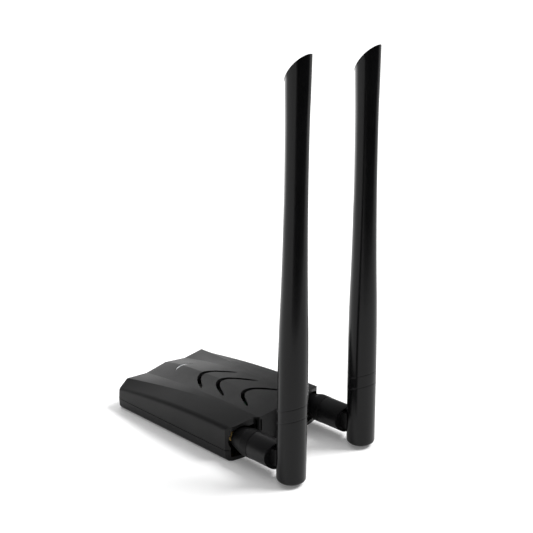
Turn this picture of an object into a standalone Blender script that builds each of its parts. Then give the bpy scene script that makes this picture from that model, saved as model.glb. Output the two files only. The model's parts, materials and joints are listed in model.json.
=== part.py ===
"""Long range dual antenna usb wifi adapter, built as separate parts.

Metres, +Z up.  +X points from the usb end to the antenna end, Y is the width.
The origin is on the resting face, under the middle of the side walls.
"""
import bpy
import bmesh
import math
from mathutils import Matrix
from mathutils import Vector

MM = 0.001

# body, millimetres
USB_END_X = -39.4
WALL_END_X = 38.9
TONGUE_END_X = 45.9
HALF_WIDTH = 31.4
TONGUE_HALF_Y = 16.5
SEAM_Z = 5.2
SEAM_GAP = 0.3
BASE_FLARE = 1.1
WALL = 1.8

# top surface lines at the usb end and at the antenna end, millimetres
EDGE_Z_USB = 10.4
EDGE_Z_ANT = 16.8
EDGE_Y_USB = 31.0
EDGE_Y_ANT = 31.3
CREASE_Y_USB = 25.7
CREASE_Y_ANT = 15.9
CREASE_Z_USB = 14.5
CREASE_Z_ANT = 18.9
VALLEY_Y_USB = 13.0
VALLEY_Y_ANT = 15.2
VALLEY_Z_USB = 13.2
VALLEY_Z_ANT = 18.9
RIDGE_Z_USB = 15.1
RIDGE_Z_ANT = 18.95

# three chevron vents: tip x, half spread, reach along x
VENTS = ((-9.8, 13.0, 13.1), (2.9, 12.3, 15.4), (20.5, 12.3, 14.0))
VENT_THICK = 1.9
LED_TIP_X = -26.8
LED_HALF_SPREAD = 6.8
LED_REACH = 3.9
LED_THICK = 2.6

# antenna pockets and jacks
JACK_Y = 24.1
JACK_Z = 10.0
POCKET_BACK_X = 30.8
POCKET_INNER_Y = 17.0
POCKET_OUTER_Y = 29.6
POCKET_FLOOR_Z = 1.8
POCKET_TOP_Z = 15.3
POCKET_ROUND_R = 6.4
JACK_FRONT_X = 45.0
THREAD_R = 3.17
THREAD_ROOT_R = 2.8
THREAD_PITCH = 0.7056
THREAD_SHOWN_X = 34.2
THREAD_RIDGES = 9

# antenna, measured from the tilt pin
PIVOT_X = 73.4
SLEEVE_START_X = 40.4
SLEEVE_CONE_X = 47.4
SLEEVE_END_X = 51.5
SLEEVE_FOOT_R = 4.8
SLEEVE_R = 6.6
STEM_START_X = 51.8
STEM_END_X = 65.8
STEM_R = 6.5
STEM_CORE_X = 57.8
STEM_HOLLOW_R = 10.4
STEM_HOLLOW_Y = 7.2
LUG_R = 3.9
LUG_HALF_Y = 2.5
PIN_R = 1.1
LEAN_DEG = 0.9

# whip sections: height over the pin, half depth in x, half width in y
WHIP_FOOT = -8.6
WHIP_FOOT_FILLET = 1.6
WHIP_R = 6.65
WHIP_STATIONS = (
    (36.0, 6.62, 6.58),
    (48.0, 6.56, 6.40),
    (62.0, 6.40, 5.97),
    (75.0, 6.07, 5.44),
    (88.0, 5.79, 5.02),
    (101.0, 5.59, 4.69),
    (114.0, 5.44, 4.41),
    (132.0, 5.39, 4.27),
    (150.0, 5.51, 4.27),
    (162.0, 5.80, 4.40),
    (178.0, 6.10, 4.55),
)
WHIP_TIP_Z = 176.35
WHIP_TIP_SLOPE = 0.68
WHIP_TIP_BEND = 0.026
WHIP_WALL = 1.3
RING_LOW_Z = 20.6
RING_HIGH_Z = 26.4
RING_SLOPE_DEG = 21.0
RING_WIDTH = 0.35
RING_DEPTH = 0.2
SLOT_HALF_Y = 2.85
SLOT_REACH = 4.35

# board
BOARD_TOP_Z = 10.7
BOARD_THICK = 1.6
BOARD_START_X = -36.9
BOARD_END_X = 26.2
BOARD_HALF_Y = 27.4

SCREWS = ((-31.0, -21.0), (-31.0, 21.0), (18.0, -23.5), (18.0, 23.5))


def clear_scene():
    for obj in list(bpy.data.objects):
        bpy.data.objects.remove(obj, do_unlink=True)


def make_collection(name):
    coll = bpy.data.collections.new(name)
    bpy.context.scene.collection.children.link(coll)
    return coll


clear_scene()
PARTS = make_collection("usb_wifi_adapter")
CUTTERS = make_collection("cutters")


# ---------------------------------------------------------------- materials

def make_material(name, colour, metallic, roughness):
    mat = bpy.data.materials.new(name)
    mat.use_nodes = True
    shader = mat.node_tree.nodes["Principled BSDF"]
    shader.inputs["Base Color"].default_value = (colour[0], colour[1], colour[2], 1.0)
    shader.inputs["Metallic"].default_value = metallic
    shader.inputs["Roughness"].default_value = roughness
    return mat


def black_shell():
    return make_material("black_shell", (0.018, 0.018, 0.020), 0.0, 0.55)


def black_gloss():
    return make_material("black_gloss", (0.010, 0.010, 0.011), 0.0, 0.25)


def black_satin():
    return make_material("black_satin", (0.014, 0.014, 0.015), 0.0, 0.42)


def gold_plate():
    return make_material("gold_plate", (0.83, 0.60, 0.22), 1.0, 0.28)


def bright_nickel():
    return make_material("bright_nickel", (0.66, 0.65, 0.62), 1.0, 0.28)


def raw_brass():
    return make_material("raw_brass", (0.72, 0.54, 0.24), 1.0, 0.35)


def white_ptfe():
    return make_material("white_ptfe", (0.86, 0.86, 0.83), 0.0, 0.5)


def board_green():
    return make_material("board_green", (0.02, 0.10, 0.05), 0.0, 0.45)


def chip_black():
    return make_material("chip_black", (0.02, 0.02, 0.02), 0.0, 0.6)


def tin_shield():
    return make_material("tin_shield", (0.60, 0.60, 0.58), 1.0, 0.35)


def pad_grey():
    return make_material("pad_grey", (0.30, 0.33, 0.36), 0.0, 0.8)


def led_lens_milk():
    return make_material("led_lens_milk", (0.42, 0.43, 0.44), 0.0, 0.3)


def led_body_clear():
    return make_material("led_body_clear", (0.80, 0.82, 0.78), 0.0, 0.2)


def label_silver():
    return make_material("label_silver", (0.46, 0.46, 0.46), 0.0, 0.5)


def steel_zinc():
    return make_material("steel_zinc", (0.45, 0.45, 0.46), 1.0, 0.4)


def cable_black():
    return make_material("cable_black", (0.03, 0.03, 0.03), 0.0, 0.6)


MATS = {
    "shell": black_shell(),
    "gloss": black_gloss(),
    "satin": black_satin(),
    "gold": gold_plate(),
    "nickel": bright_nickel(),
    "brass": raw_brass(),
    "ptfe": white_ptfe(),
    "board": board_green(),
    "chip": chip_black(),
    "shield": tin_shield(),
    "pad": pad_grey(),
    "lens": led_lens_milk(),
    "led": led_body_clear(),
    "label": label_silver(),
    "steel": steel_zinc(),
    "cable": cable_black(),
}


# ---------------------------------------------------------------- mesh tools

def metres(x, y, z):
    return Vector((x * MM, y * MM, z * MM))


def finish_mesh(bm, name):
    bmesh.ops.recalc_face_normals(bm, faces=bm.faces)
    mesh = bpy.data.meshes.new(name)
    bm.to_mesh(mesh)
    bm.free()
    return mesh


def box_mesh(name, low, high):
    bm = bmesh.new()
    bmesh.ops.create_cube(bm, size=1.0)
    size = Vector(high) - Vector(low)
    centre = (Vector(high) + Vector(low)) / 2.0
    for vert in bm.verts:
        vert.co = Vector((vert.co.x * size.x, vert.co.y * size.y, vert.co.z * size.z)) + centre
        vert.co = vert.co * MM
    return finish_mesh(bm, name)


def axis_turn(axis):
    if axis == "X":
        return Matrix.Rotation(math.radians(90.0), 4, "Y")
    if axis == "Y":
        return Matrix.Rotation(math.radians(-90.0), 4, "X")
    return Matrix.Identity(4)


def rod_mesh(name, radius, start, end, axis, centre, sides=24, radius_end=None):
    """Closed cylinder or cone along an axis from start to end, centred on the other two."""
    if radius_end is None:
        radius_end = radius
    bm = bmesh.new()
    bmesh.ops.create_cone(
        bm, cap_ends=True, segments=sides,
        radius1=radius * MM, radius2=radius_end * MM, depth=(end - start) * MM)
    bmesh.ops.transform(bm, matrix=axis_turn(axis), verts=bm.verts)
    middle = (start + end) / 2.0
    if axis == "X":
        shift = metres(middle, centre[0], centre[1])
    elif axis == "Y":
        shift = metres(centre[0], middle, centre[1])
    else:
        shift = metres(centre[0], centre[1], middle)
    bmesh.ops.translate(bm, verts=bm.verts, vec=shift)
    return finish_mesh(bm, name)


def baked_mesh(obj, name):
    """The evaluated shape of a helper object as a plain welded mesh; the helper goes."""
    graph = bpy.context.evaluated_depsgraph_get()
    mesh = bpy.data.meshes.new_from_object(obj.evaluated_get(graph))
    source = obj.data
    bpy.data.objects.remove(obj, do_unlink=True)
    if isinstance(source, bpy.types.Curve):
        bpy.data.curves.remove(source)
    bm = bmesh.new()
    bm.from_mesh(mesh)
    bmesh.ops.remove_doubles(bm, verts=bm.verts, dist=0.000001)
    bpy.data.meshes.remove(mesh)
    return finish_mesh(bm, name)


def turned_side(profile):
    """Order a closed (height, radius) outline so its outer side runs top to bottom."""
    area = 0.0
    count = len(profile)
    for i in range(count):
        height, radius = profile[i]
        next_height, next_radius = profile[(i + 1) % count]
        area += radius * next_height - next_radius * height
    return list(reversed(profile)) if area > 0.0 else list(profile)


def lathe_mesh(name, profile, centre_y, centre_z, sides=24):
    """Turn a closed (x, radius) outline about an X axis line with a Screw."""
    outline = bpy.data.meshes.new(name + "_outline")
    points = [metres(radius, 0.0, x) for x, radius in turned_side(profile)]
    count = len(points)
    outline.from_pydata(points, [(i, (i + 1) % count) for i in range(count)], [])
    helper = bpy.data.objects.new(name + "_outline", outline)
    CUTTERS.objects.link(helper)
    screw = helper.modifiers.new("turn", "SCREW")
    screw.axis = "Z"
    screw.angle = 2.0 * math.pi
    screw.steps = sides
    screw.render_steps = sides
    screw.use_merge_vertices = True
    screw.merge_threshold = 0.00001
    mesh = baked_mesh(helper, name)
    mesh.transform(axis_turn("X"))
    mesh.transform(Matrix.Translation(metres(0.0, centre_y, centre_z)))
    return mesh


def loft_mesh(name, rings):
    """Skin between matching closed rings of points, with flat end caps."""
    bm = bmesh.new()
    made = []
    for ring in rings:
        made.append([bm.verts.new(metres(*point)) for point in ring])
    count = len(made[0])
    for a, b in zip(made[:-1], made[1:]):
        for i in range(count):
            j = (i + 1) % count
            bm.faces.new((a[i], a[j], b[j], b[i]))
    bm.faces.new(made[0])
    bm.faces.new(list(reversed(made[-1])))
    return finish_mesh(bm, name)


def prism_mesh(name, outline, low, high, axis="Z"):
    """Thicken a flat outline.  Z: (x, y) points.  Y: (x, z) points.  X: (y, z) points."""
    curve = bpy.data.curves.new(name, "CURVE")
    curve.dimensions = "2D"
    curve.fill_mode = "BOTH"
    curve.extrude = (high - low) / 2.0 * MM
    spline = curve.splines.new("POLY")
    spline.points.add(len(outline) - 1)
    for point, place_2d in zip(spline.points, outline):
        point.co = (place_2d[0] * MM, place_2d[1] * MM, 0.0, 1.0)
    spline.use_cyclic_u = True
    helper = bpy.data.objects.new(name, curve)
    CUTTERS.objects.link(helper)
    mesh = baked_mesh(helper, name)
    middle = (low + high) / 2.0
    if axis == "Z":
        mesh.transform(Matrix.Translation(metres(0.0, 0.0, middle)))
    elif axis == "Y":
        mesh.transform(Matrix.Rotation(math.radians(90.0), 4, "X"))
        mesh.transform(Matrix.Translation(metres(0.0, middle, 0.0)))
    else:
        mesh.transform(Matrix(((0.0, 0.0, 1.0), (1.0, 0.0, 0.0), (0.0, 1.0, 0.0))).to_4x4())
        mesh.transform(Matrix.Translation(metres(middle, 0.0, 0.0)))
    return mesh


def place(name, mesh, mat_key, home=PARTS):
    obj = bpy.data.objects.new(name, mesh)
    home.objects.link(obj)
    if mat_key:
        mesh.materials.clear()
        mesh.materials.append(MATS[mat_key])
    return obj


def cutter(name, mesh):
    obj = place(name, mesh, None, CUTTERS)
    obj.hide_render = True
    obj.display_type = "WIRE"
    return obj


def combine(obj, tool, operation):
    mod = obj.modifiers.new(operation.lower() + "_" + tool.name, "BOOLEAN")
    mod.operation = operation
    mod.solver = "EXACT"
    mod.object = tool


def cut(obj, name, mesh):
    tool = cutter(name, mesh)
    combine(obj, tool, "DIFFERENCE")
    return tool


def add(obj, name, mesh):
    tool = cutter(name, mesh)
    combine(obj, tool, "UNION")
    return tool


def smooth(obj, angle=35.0):
    for poly in obj.data.polygons:
        poly.use_smooth = True
    obj.data.set_sharp_from_angle(angle=math.radians(angle))


# ---------------------------------------------------------------- body shape

def along(x):
    t = (x - USB_END_X) / (WALL_END_X - USB_END_X)
    return min(1.0, max(0.0, t))


def blend(a, b, t, power):
    return a + (b - a) * (1.0 - (1.0 - t) ** power)


def ridge_z(x):
    return blend(RIDGE_Z_USB, RIDGE_Z_ANT, along(x), 5.0)


def valley(x):
    t = along(x)
    return (blend(VALLEY_Y_USB, VALLEY_Y_ANT, t, 3.0), blend(VALLEY_Z_USB, VALLEY_Z_ANT, t, 2.6))


def crease(x):
    t = along(x)
    return (blend(CREASE_Y_USB, CREASE_Y_ANT, t, 1.4), blend(CREASE_Z_USB, CREASE_Z_ANT, t, 1.7))


def wall_edge(x):
    t = along(x)
    return (blend(EDGE_Y_USB, EDGE_Y_ANT, t, 1.0), blend(EDGE_Z_USB, EDGE_Z_ANT, t, 2.2))


def top_section(x, inset, base_z):
    """Points of the shell's cross section at x, shrunk by inset for the inner skin."""
    edge = wall_edge(x)
    fold = crease(x)
    dip = valley(x)
    half = [
        (HALF_WIDTH - inset, base_z),
        (edge[0] - inset, edge[1] - inset * 0.9),
        (fold[0] - inset * 0.4, fold[1] - inset),
        (dip[0], dip[1] - inset),
    ]
    points = [(x, -y, z) for y, z in half]
    points.append((x, 0.0, ridge_z(x) - inset))
    points.extend((x, y, z) for y, z in reversed(half))
    return points


def top_hull(name, start, end, inset, base_z, steps):
    rings = []
    for i in range(steps + 1):
        x = start + (end - start) * i / steps
        rings.append(top_section(x, inset, base_z))
    return loft_mesh(name, rings)


def end_outline(side, margin):
    """Area outside the antenna end of the body, on one side, seen from above."""
    return [
        (WALL_END_X, side * (HALF_WIDTH + margin)),
        (WALL_END_X, side * HALF_WIDTH),
        (WALL_END_X + 2.6, side * (HALF_WIDTH - 2.3)),
        (WALL_END_X + 3.9, side * 24.0),
        (WALL_END_X + 4.7, side * (TONGUE_HALF_Y + 0.9)),
        (TONGUE_END_X - 0.8, side * TONGUE_HALF_Y),
        (TONGUE_END_X, side * (TONGUE_HALF_Y - 0.8)),
        (TONGUE_END_X + margin, side * (TONGUE_HALF_Y - 0.8)),
        (TONGUE_END_X + margin, side * (HALF_WIDTH + margin)),
    ]


def trim_antenna_end(obj, tag):
    for side, word in ((-1.0, "near"), (1.0, "far")):
        outline = end_outline(side, 4.0)
        cut(obj, tag + "_end_trim_" + word, prism_mesh("end_trim", outline, -3.0, 24.0))
    end_box = box_mesh("tongue_trim", (TONGUE_END_X, -20.0, -3.0), (TONGUE_END_X + 4.0, 20.0, 24.0))
    cut(obj, tag + "_tongue_trim", end_box)


def open_pockets(obj, tag):
    for side, word in ((-1.0, "near"), (1.0, "far")):
        y_values = sorted((side * POCKET_INNER_Y, side * POCKET_OUTER_Y))
        low = (POCKET_BACK_X, y_values[0], POCKET_FLOOR_Z)
        high = (52.0, y_values[1], POCKET_TOP_Z)
        cut(obj, tag + "_pocket_" + word, box_mesh("pocket", low, high))


def crescent(tip_x, half_spread, reach, thick, count=14, gap=0.0, limit=1.0):
    """Plan outline of a chevron: thick at the tip, pointed at both ends.

    With a gap it is the outline of a piece that drops into the same opening,
    stopped short of the points at limit.
    """
    front = []
    back = []
    for i in range(count + 1):
        s = limit * (-1.0 + 2.0 * i / count)
        y = s * half_spread
        x = tip_x + reach * abs(s) ** 2.1
        lift = thick * (1.0 - abs(s)) ** 0.9
        front.append((x + gap, y))
        if gap > 0.0 or 0 < i < count:
            back.append((x + lift - gap, y))
    return front + list(reversed(back))


def build_top_cover():
    hull = top_hull("top_cover", USB_END_X, TONGUE_END_X + 2.0, 0.0, SEAM_Z + SEAM_GAP / 2.0, 14)
    obj = place("top_cover", hull, "shell")
    bevel = obj.modifiers.new("edge_round", "BEVEL")
    bevel.width = 0.5 * MM
    bevel.segments = 2
    bevel.limit_method = "ANGLE"
    bevel.angle_limit = math.radians(40.0)
    trim_antenna_end(obj, "top")
    inner = top_hull("inner", USB_END_X + WALL, POCKET_BACK_X - WALL, WALL, SEAM_Z - 3.0, 9)
    cut(obj, "top_inner", inner)
    tongue = box_mesh("tongue_room", (24.0, -13.6, 2.0), (TONGUE_END_X - WALL, 13.6, 15.6))
    cut(obj, "top_tongue_room", tongue)
    open_pockets(obj, "top")
    for side, word in ((-1.0, "near"), (1.0, "far")):
        y = side * JACK_Y
        ring = rod_mesh("sleeve_room", POCKET_ROUND_R, SLEEVE_START_X - 0.45, 56.0, "X", (y, JACK_Z), 32)
        cut(obj, "top_sleeve_room_" + word, ring)
        hole = rod_mesh("jack_hole", THREAD_R + 0.25, 20.0, POCKET_BACK_X + 2.0, "X", (y, JACK_Z), 24)
        cut(obj, "top_jack_hole_" + word, hole)
    for number, vent in enumerate(VENTS):
        outline = crescent(vent[0], vent[1], vent[2], VENT_THICK)
        cut(obj, "vent_%d" % (number + 1), prism_mesh("vent", outline, 12.0, 24.0))
    window = crescent(LED_TIP_X, LED_HALF_SPREAD, LED_REACH, LED_THICK)
    cut(obj, "led_window", prism_mesh("led_window", window, 11.0, 24.0))
    usb_slot(obj)
    for number, spot in enumerate(SCREWS):
        roof = boss_roof(spot[0], spot[1])
        boss = rod_mesh("boss", 2.7, SEAM_Z + 0.4, roof, "Z", spot, 20)
        add(obj, "top_boss_%d" % (number + 1), boss)
        pilot = rod_mesh("pilot", 1.2, SEAM_Z - 1.0, 10.4, "Z", spot, 16)
        cut(obj, "top_pilot_%d" % (number + 1), pilot)
    return obj


def boss_roof(x, y):
    """Height just inside the roof over a screw boss."""
    fold = crease(x)
    edge = wall_edge(x)
    if abs(y) <= fold[0]:
        return fold[1] - 1.0
    share = (abs(y) - fold[0]) / (edge[0] - fold[0])
    return fold[1] + (edge[1] - fold[1]) * share - 1.4


def usb_outline(grow):
    """Rounded slot for the usb socket, as (y, z)."""
    half_wide = 4.5 + grow
    half_high = 1.6 + grow
    points = []
    for side in (1.0, -1.0):
        for i in range(9):
            angle = math.radians(-90.0 + 22.5 * i) if side > 0 else math.radians(90.0 + 22.5 * i)
            y = side * (half_wide - half_high) + half_high * math.cos(angle)
            z = USB_Z + half_high * math.sin(angle)
            points.append((y, z))
    return points


USB_Z = 7.35


def slot_mesh(name, grow, start, end):
    return prism_mesh(name, usb_outline(grow), start, end, "X")


def usb_slot(obj):
    cut(obj, "usb_opening", slot_mesh("usb_opening", 0.2, USB_END_X - 1.0, USB_END_X + 3.0))


def bottom_section(x):
    seam = SEAM_Z - SEAM_GAP / 2.0
    half = [(HALF_WIDTH, seam), (HALF_WIDTH - 0.15, 1.2), (HALF_WIDTH - BASE_FLARE, 0.0)]
    points = [(x, -y, z) for y, z in half]
    points.extend((x, y, z) for y, z in reversed(half))
    return points


def build_bottom_cover():
    rings = [bottom_section(x) for x in (USB_END_X, 0.0, TONGUE_END_X + 2.0)]
    obj = place("bottom_cover", loft_mesh("bottom_cover", rings), "shell")
    toe = [(USB_END_X - 1.0, -1.0), (USB_END_X + 0.8, -1.0), (USB_END_X, 1.0), (USB_END_X - 1.0, 1.0)]
    cut(obj, "toe_chamfer", prism_mesh("toe", toe, -40.0, 40.0, "Y"))
    trim_antenna_end(obj, "bottom")
    low = (USB_END_X + WALL, -HALF_WIDTH + WALL, WALL)
    high = (POCKET_BACK_X - WALL, HALF_WIDTH - WALL, SEAM_Z + 2.0)
    cut(obj, "bottom_room", box_mesh("bottom_room", low, high))
    tongue = box_mesh("tongue_room", (24.0, -13.6, WALL), (TONGUE_END_X - WALL, 13.6, 8.0))
    cut(obj, "bottom_tongue_room", tongue)
    open_pockets(obj, "bottom")
    for side, word in ((-1.0, "near"), (1.0, "far")):
        y = side * JACK_Y
        ring = rod_mesh("sleeve_room", POCKET_ROUND_R, SLEEVE_START_X - 0.45, 56.0, "X", (y, JACK_Z), 32)
        cut(obj, "bottom_sleeve_room_" + word, ring)
    for number, spot in enumerate(SCREWS):
        tag = str(number + 1)
        add(obj, "bottom_boss_" + tag, rod_mesh("boss", 3.3, 1.0, SEAM_Z - 0.4, "Z", spot, 20))
        cut(obj, "screw_sink_" + tag, rod_mesh("sink", 2.5, -1.0, 1.6, "Z", spot, 20))
        cut(obj, "screw_way_" + tag, rod_mesh("way", 1.35, 1.0, 8.0, "Z", spot, 16))
    label = box_mesh("label_bed", (-33.0, -13.0, -1.0), (-4.0, 13.0, 0.35))
    cut(obj, "label_bed", label)
    return obj


def build_label():
    low = (-32.7, -12.7, 0.02)
    high = (-4.3, 12.7, 0.27)
    place("blank_label", box_mesh("blank_label", low, high), "label")


def build_screws():
    for number, spot in enumerate(SCREWS):
        name = "case_screw_%d" % (number + 1)
        obj = place(name, rod_mesh(name, 2.1, 0.2, 1.4, "Z", spot, 20), "steel")
        add(obj, name + "_shank", rod_mesh("shank", 0.95, 1.2, 9.4, "Z", spot, 12))
        cross_x = box_mesh("cross", (spot[0] - 1.1, spot[1] - 0.2, -0.5), (spot[0] + 1.1, spot[1] + 0.2, 0.8))
        cut(obj, name + "_cross_x", cross_x)
        cross_y = box_mesh("cross", (spot[0] - 0.2, spot[1] - 1.1, -0.5), (spot[0] + 0.2, spot[1] + 1.1, 0.8))
        cut(obj, name + "_cross_y", cross_y)
        smooth(obj)


# ---------------------------------------------------------------- electronics

def build_board():
    low = (BOARD_START_X, -BOARD_HALF_Y, BOARD_TOP_Z - BOARD_THICK)
    high = (BOARD_END_X, BOARD_HALF_Y, BOARD_TOP_Z)
    obj = place("circuit_board", box_mesh("circuit_board", low, high), "board")
    for number, spot in enumerate(SCREWS):
        tag = "board_hole_%d" % (number + 1)
        cut(obj, tag, rod_mesh("hole", 3.1, 7.0, 13.0, "Z", spot, 20))
    return obj


def build_shield():
    outer = box_mesh("radio_shield", (-8.0, -11.0, BOARD_TOP_Z + 0.3), (16.0, 11.0, BOARD_TOP_Z + 3.1))
    obj = place("radio_shield", outer, "shield")
    room = box_mesh("shield_room", (-7.6, -10.6, 10.0), (15.6, 10.6, BOARD_TOP_Z + 2.7))
    cut(obj, "shield_room", room)
    for row in range(2):
        for col in range(3):
            x = -3.5 + 7.5 * col
            y = -6.0 + 12.0 * row
            tag = "shield_vent_%d_%d" % (row, col)
            cut(obj, tag, rod_mesh("hole", 0.8, BOARD_TOP_Z + 1.8, BOARD_TOP_Z + 4.0, "Z", (x, y), 12))


def build_chips():
    z = BOARD_TOP_Z + 0.3
    place("radio_chip", box_mesh("radio_chip", (-0.5, -4.5, z), (8.5, 4.5, z + 0.9)), "chip")
    place("thermal_pad", box_mesh("thermal_pad", (0.5, -3.5, z + 1.2), (7.5, 3.5, z + 2.1)), "pad")
    place("flash_chip", box_mesh("flash_chip", (-20.0, 5.0, z), (-14.8, 9.0, z + 1.4)), "chip")
    place("crystal_can", box_mesh("crystal_can", (-20.0, -8.0, z), (-16.8, -5.5, z + 0.8)), "shield")
    led = box_mesh("status_led", (LED_TIP_X + 0.6, -1.0, z), (LED_TIP_X + 2.2, 1.0, z + 0.7))
    place("status_led", led, "led")


def build_led_lens():
    """Crescent light pipe that follows the roof."""
    outline = crescent(LED_TIP_X, LED_HALF_SPREAD, LED_REACH, LED_THICK, 12, 0.25, 0.8)
    obj = place("led_lens", prism_mesh("led_lens", outline, BOARD_TOP_Z + 1.4, 19.0), "lens")
    roof = top_hull("roof_guide", USB_END_X + 2.0, -10.0, 0.12, 6.0, 4)
    tool = cutter("lens_roof_guide", roof)
    combine(obj, tool, "INTERSECT")
    smooth(obj)


def build_usb_socket():
    start = USB_END_X + 0.35
    end = start + 7.3
    shell = place("usb_socket_shell", slot_mesh("usb_socket_shell", -0.05, start, end), "nickel")
    cut(shell, "usb_socket_room", slot_mesh("usb_socket_room", -0.35, start - 1.0, end - 0.4))
    tab = box_mesh("usb_tongue", (start + 0.7, -3.3, USB_Z - 0.35), (end - 0.7, 3.3, USB_Z + 0.35))
    place("usb_tongue", tab, "chip")
    for side, word in ((-1.0, "lower"), (1.0, "upper")):
        z = USB_Z + side * 0.55
        low = (start + 1.2, -2.8, z - 0.06)
        high = (end - 1.6, 2.8, z + 0.06)
        place("usb_contacts_" + word, box_mesh("usb_contacts", low, high), "gold")


# ---------------------------------------------------------------- jacks

def thread_profile(start, end, inner):
    """Closed (x, radius) outline with a ridge for each thread left in view."""
    points = [(start, inner), (start, THREAD_R)]
    x = THREAD_SHOWN_X
    for i in range(THREAD_RIDGES):
        points.append((x, THREAD_R))
        points.append((x + THREAD_PITCH * 0.45, THREAD_ROOT_R))
        x = x + THREAD_PITCH
    points.append((x, THREAD_R))
    points.append((end - 0.4, THREAD_R))
    points.append((end, THREAD_ROOT_R))
    points.append((end, inner))
    return points


def build_jack(side, word):
    y = side * JACK_Y
    name = "jack_body_" + word
    bore = 2.45
    outline = thread_profile(POCKET_BACK_X - WALL - 0.4, JACK_FRONT_X, bore)
    obj = place(name, lathe_mesh(name, outline, y, JACK_Z, 20), "gold")
    low = (26.5, y - 3.6, JACK_Z - 3.6)
    high = (POCKET_BACK_X - WALL - 0.3, y + 3.6, JACK_Z + 3.6)
    add(obj, name + "_flange", box_mesh("flange", low, high))
    for number in range(4):
        y_leg = y + (-2.8 if number % 2 == 0 else 2.8)
        z_leg = JACK_Z + (-1.6 if number < 2 else 1.6)
        leg = box_mesh("leg", (22.4, y_leg - 0.5, z_leg - 0.42), (26.8, y_leg + 0.5, z_leg + 0.42))
        add(obj, name + "_leg_%d" % number, leg)
    cut(obj, name + "_back_bore", rod_mesh("bore", bore - 0.13, 25.0, 32.0, "X", (y, JACK_Z), 20))
    smooth(obj, 50.0)
    insulator = [(26.8, 0.8), (26.8, 2.15), (40.4, 2.15), (40.4, 0.8)]
    mesh = lathe_mesh("jack_insulator", insulator, y, JACK_Z, 16)
    smooth(place("jack_insulator_" + word, mesh, "ptfe"))
    pin = rod_mesh("jack_pin", 0.5, 26.4, 43.6, "X", (y, JACK_Z), 12)
    smooth(place("jack_pin_" + word, pin, "gold"))
    washer = [(31.05, THREAD_R + 0.2), (31.05, 4.6), (31.6, 4.6), (31.6, THREAD_R + 0.2)]
    smooth(place("jack_washer_" + word, lathe_mesh("jack_washer", washer, y, JACK_Z, 24), "gold"))
    nut = place("jack_nut_" + word, rod_mesh("jack_nut", 4.6, 31.85, 33.9, "X", (y, JACK_Z), 6), "gold")
    cut(nut, "jack_nut_hole_" + word, rod_mesh("hole", THREAD_R + 0.2, 30.0, 36.0, "X", (y, JACK_Z), 20))


# ---------------------------------------------------------------- antenna

def antenna_matrix(side):
    """Antenna parts are drawn at the tilt pin, then leaned about the jack line."""
    home = Matrix.Translation(metres(PIVOT_X, side * JACK_Y, JACK_Z))
    return home @ Matrix.Rotation(math.radians(side * LEAN_DEG), 4, "X")


def at_jack(obj, side, x):
    """Put a part drawn at the tilt pin there, with its own origin on the jack line at x."""
    shift = metres(x - PIVOT_X, 0.0, 0.0)
    obj.data.transform(Matrix.Translation(-shift))
    obj.matrix_world = antenna_matrix(side) @ Matrix.Translation(shift)


def move_tools(obj, side):
    for mod in obj.modifiers:
        if mod.type == "BOOLEAN":
            mod.object.matrix_world = antenna_matrix(side)


def rel(x):
    return x - PIVOT_X


def build_nut(side, word):
    name = "nut_sleeve_" + word
    profile = [
        (rel(SLEEVE_START_X), SLEEVE_FOOT_R - 0.55),
        (rel(SLEEVE_START_X), SLEEVE_FOOT_R - 0.2),
        (rel(SLEEVE_START_X) + 0.3, SLEEVE_FOOT_R),
        (rel(SLEEVE_CONE_X), SLEEVE_R),
        (rel(SLEEVE_END_X) - 0.35, SLEEVE_R),
        (rel(SLEEVE_END_X), SLEEVE_R - 0.35),
        (rel(SLEEVE_END_X), 5.2),
        (rel(44.9), 5.2),
        (rel(44.9), SLEEVE_FOOT_R - 0.55),
    ]
    sleeve = place(name, lathe_mesh(name, profile, 0.0, 0.0, 32), "satin")
    smooth(sleeve)
    at_jack(sleeve, side, SLEEVE_START_X)
    name = "coupling_nut_" + word
    profile = [
        (rel(40.8), THREAD_R + 0.25),
        (rel(40.8), 3.95),
        (rel(45.2), 3.95),
        (rel(45.2), 4.9),
        (rel(47.9), 4.9),
        (rel(47.9), 3.1),
        (rel(46.9), 3.1),
        (rel(46.9), 4.2),
        (rel(45.5), 4.2),
        (rel(45.5), THREAD_R + 0.25),
    ]
    nut = place(name, lathe_mesh(name, profile, 0.0, 0.0, 24), "brass")
    smooth(nut)
    at_jack(nut, side, SLEEVE_START_X)


def build_plug(side, word):
    name = "plug_ferrule_" + word
    profile = [
        (rel(41.6), 1.95), (rel(41.6), 2.2), (rel(45.6), 2.2), (rel(45.6), 3.9),
        (rel(46.6), 3.9), (rel(46.6), 2.7), (rel(57.0), 2.7), (rel(57.0), 1.95),
    ]
    ferrule = place(name, lathe_mesh(name, profile, 0.0, 0.0, 20), "gold")
    smooth(ferrule)
    at_jack(ferrule, side, STEM_START_X)
    name = "plug_insulator_" + word
    profile = [(rel(41.9), 1.2), (rel(41.9), 1.7), (rel(56.0), 1.7), (rel(56.0), 1.2)]
    insulator = place(name, lathe_mesh(name, profile, 0.0, 0.0, 16), "ptfe")
    smooth(insulator)
    at_jack(insulator, side, STEM_START_X)
    name = "plug_socket_" + word
    profile = [(rel(42.0), 0.68), (rel(42.0), 0.98), (rel(55.0), 0.98), (rel(55.0), 0.68)]
    socket = place(name, lathe_mesh(name, profile, 0.0, 0.0, 12), "gold")
    smooth(socket)
    at_jack(socket, side, STEM_START_X)


def lug_outline(start):
    """Side view of the hinge lug: a bar with a round end about the pin, as (x, z)."""
    points = [(start, LUG_R), (start, -LUG_R)]
    for i in range(13):
        angle = math.radians(-90.0 + 15.0 * i)
        points.append((LUG_R * math.cos(angle), LUG_R * math.sin(angle)))
    return points


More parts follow.
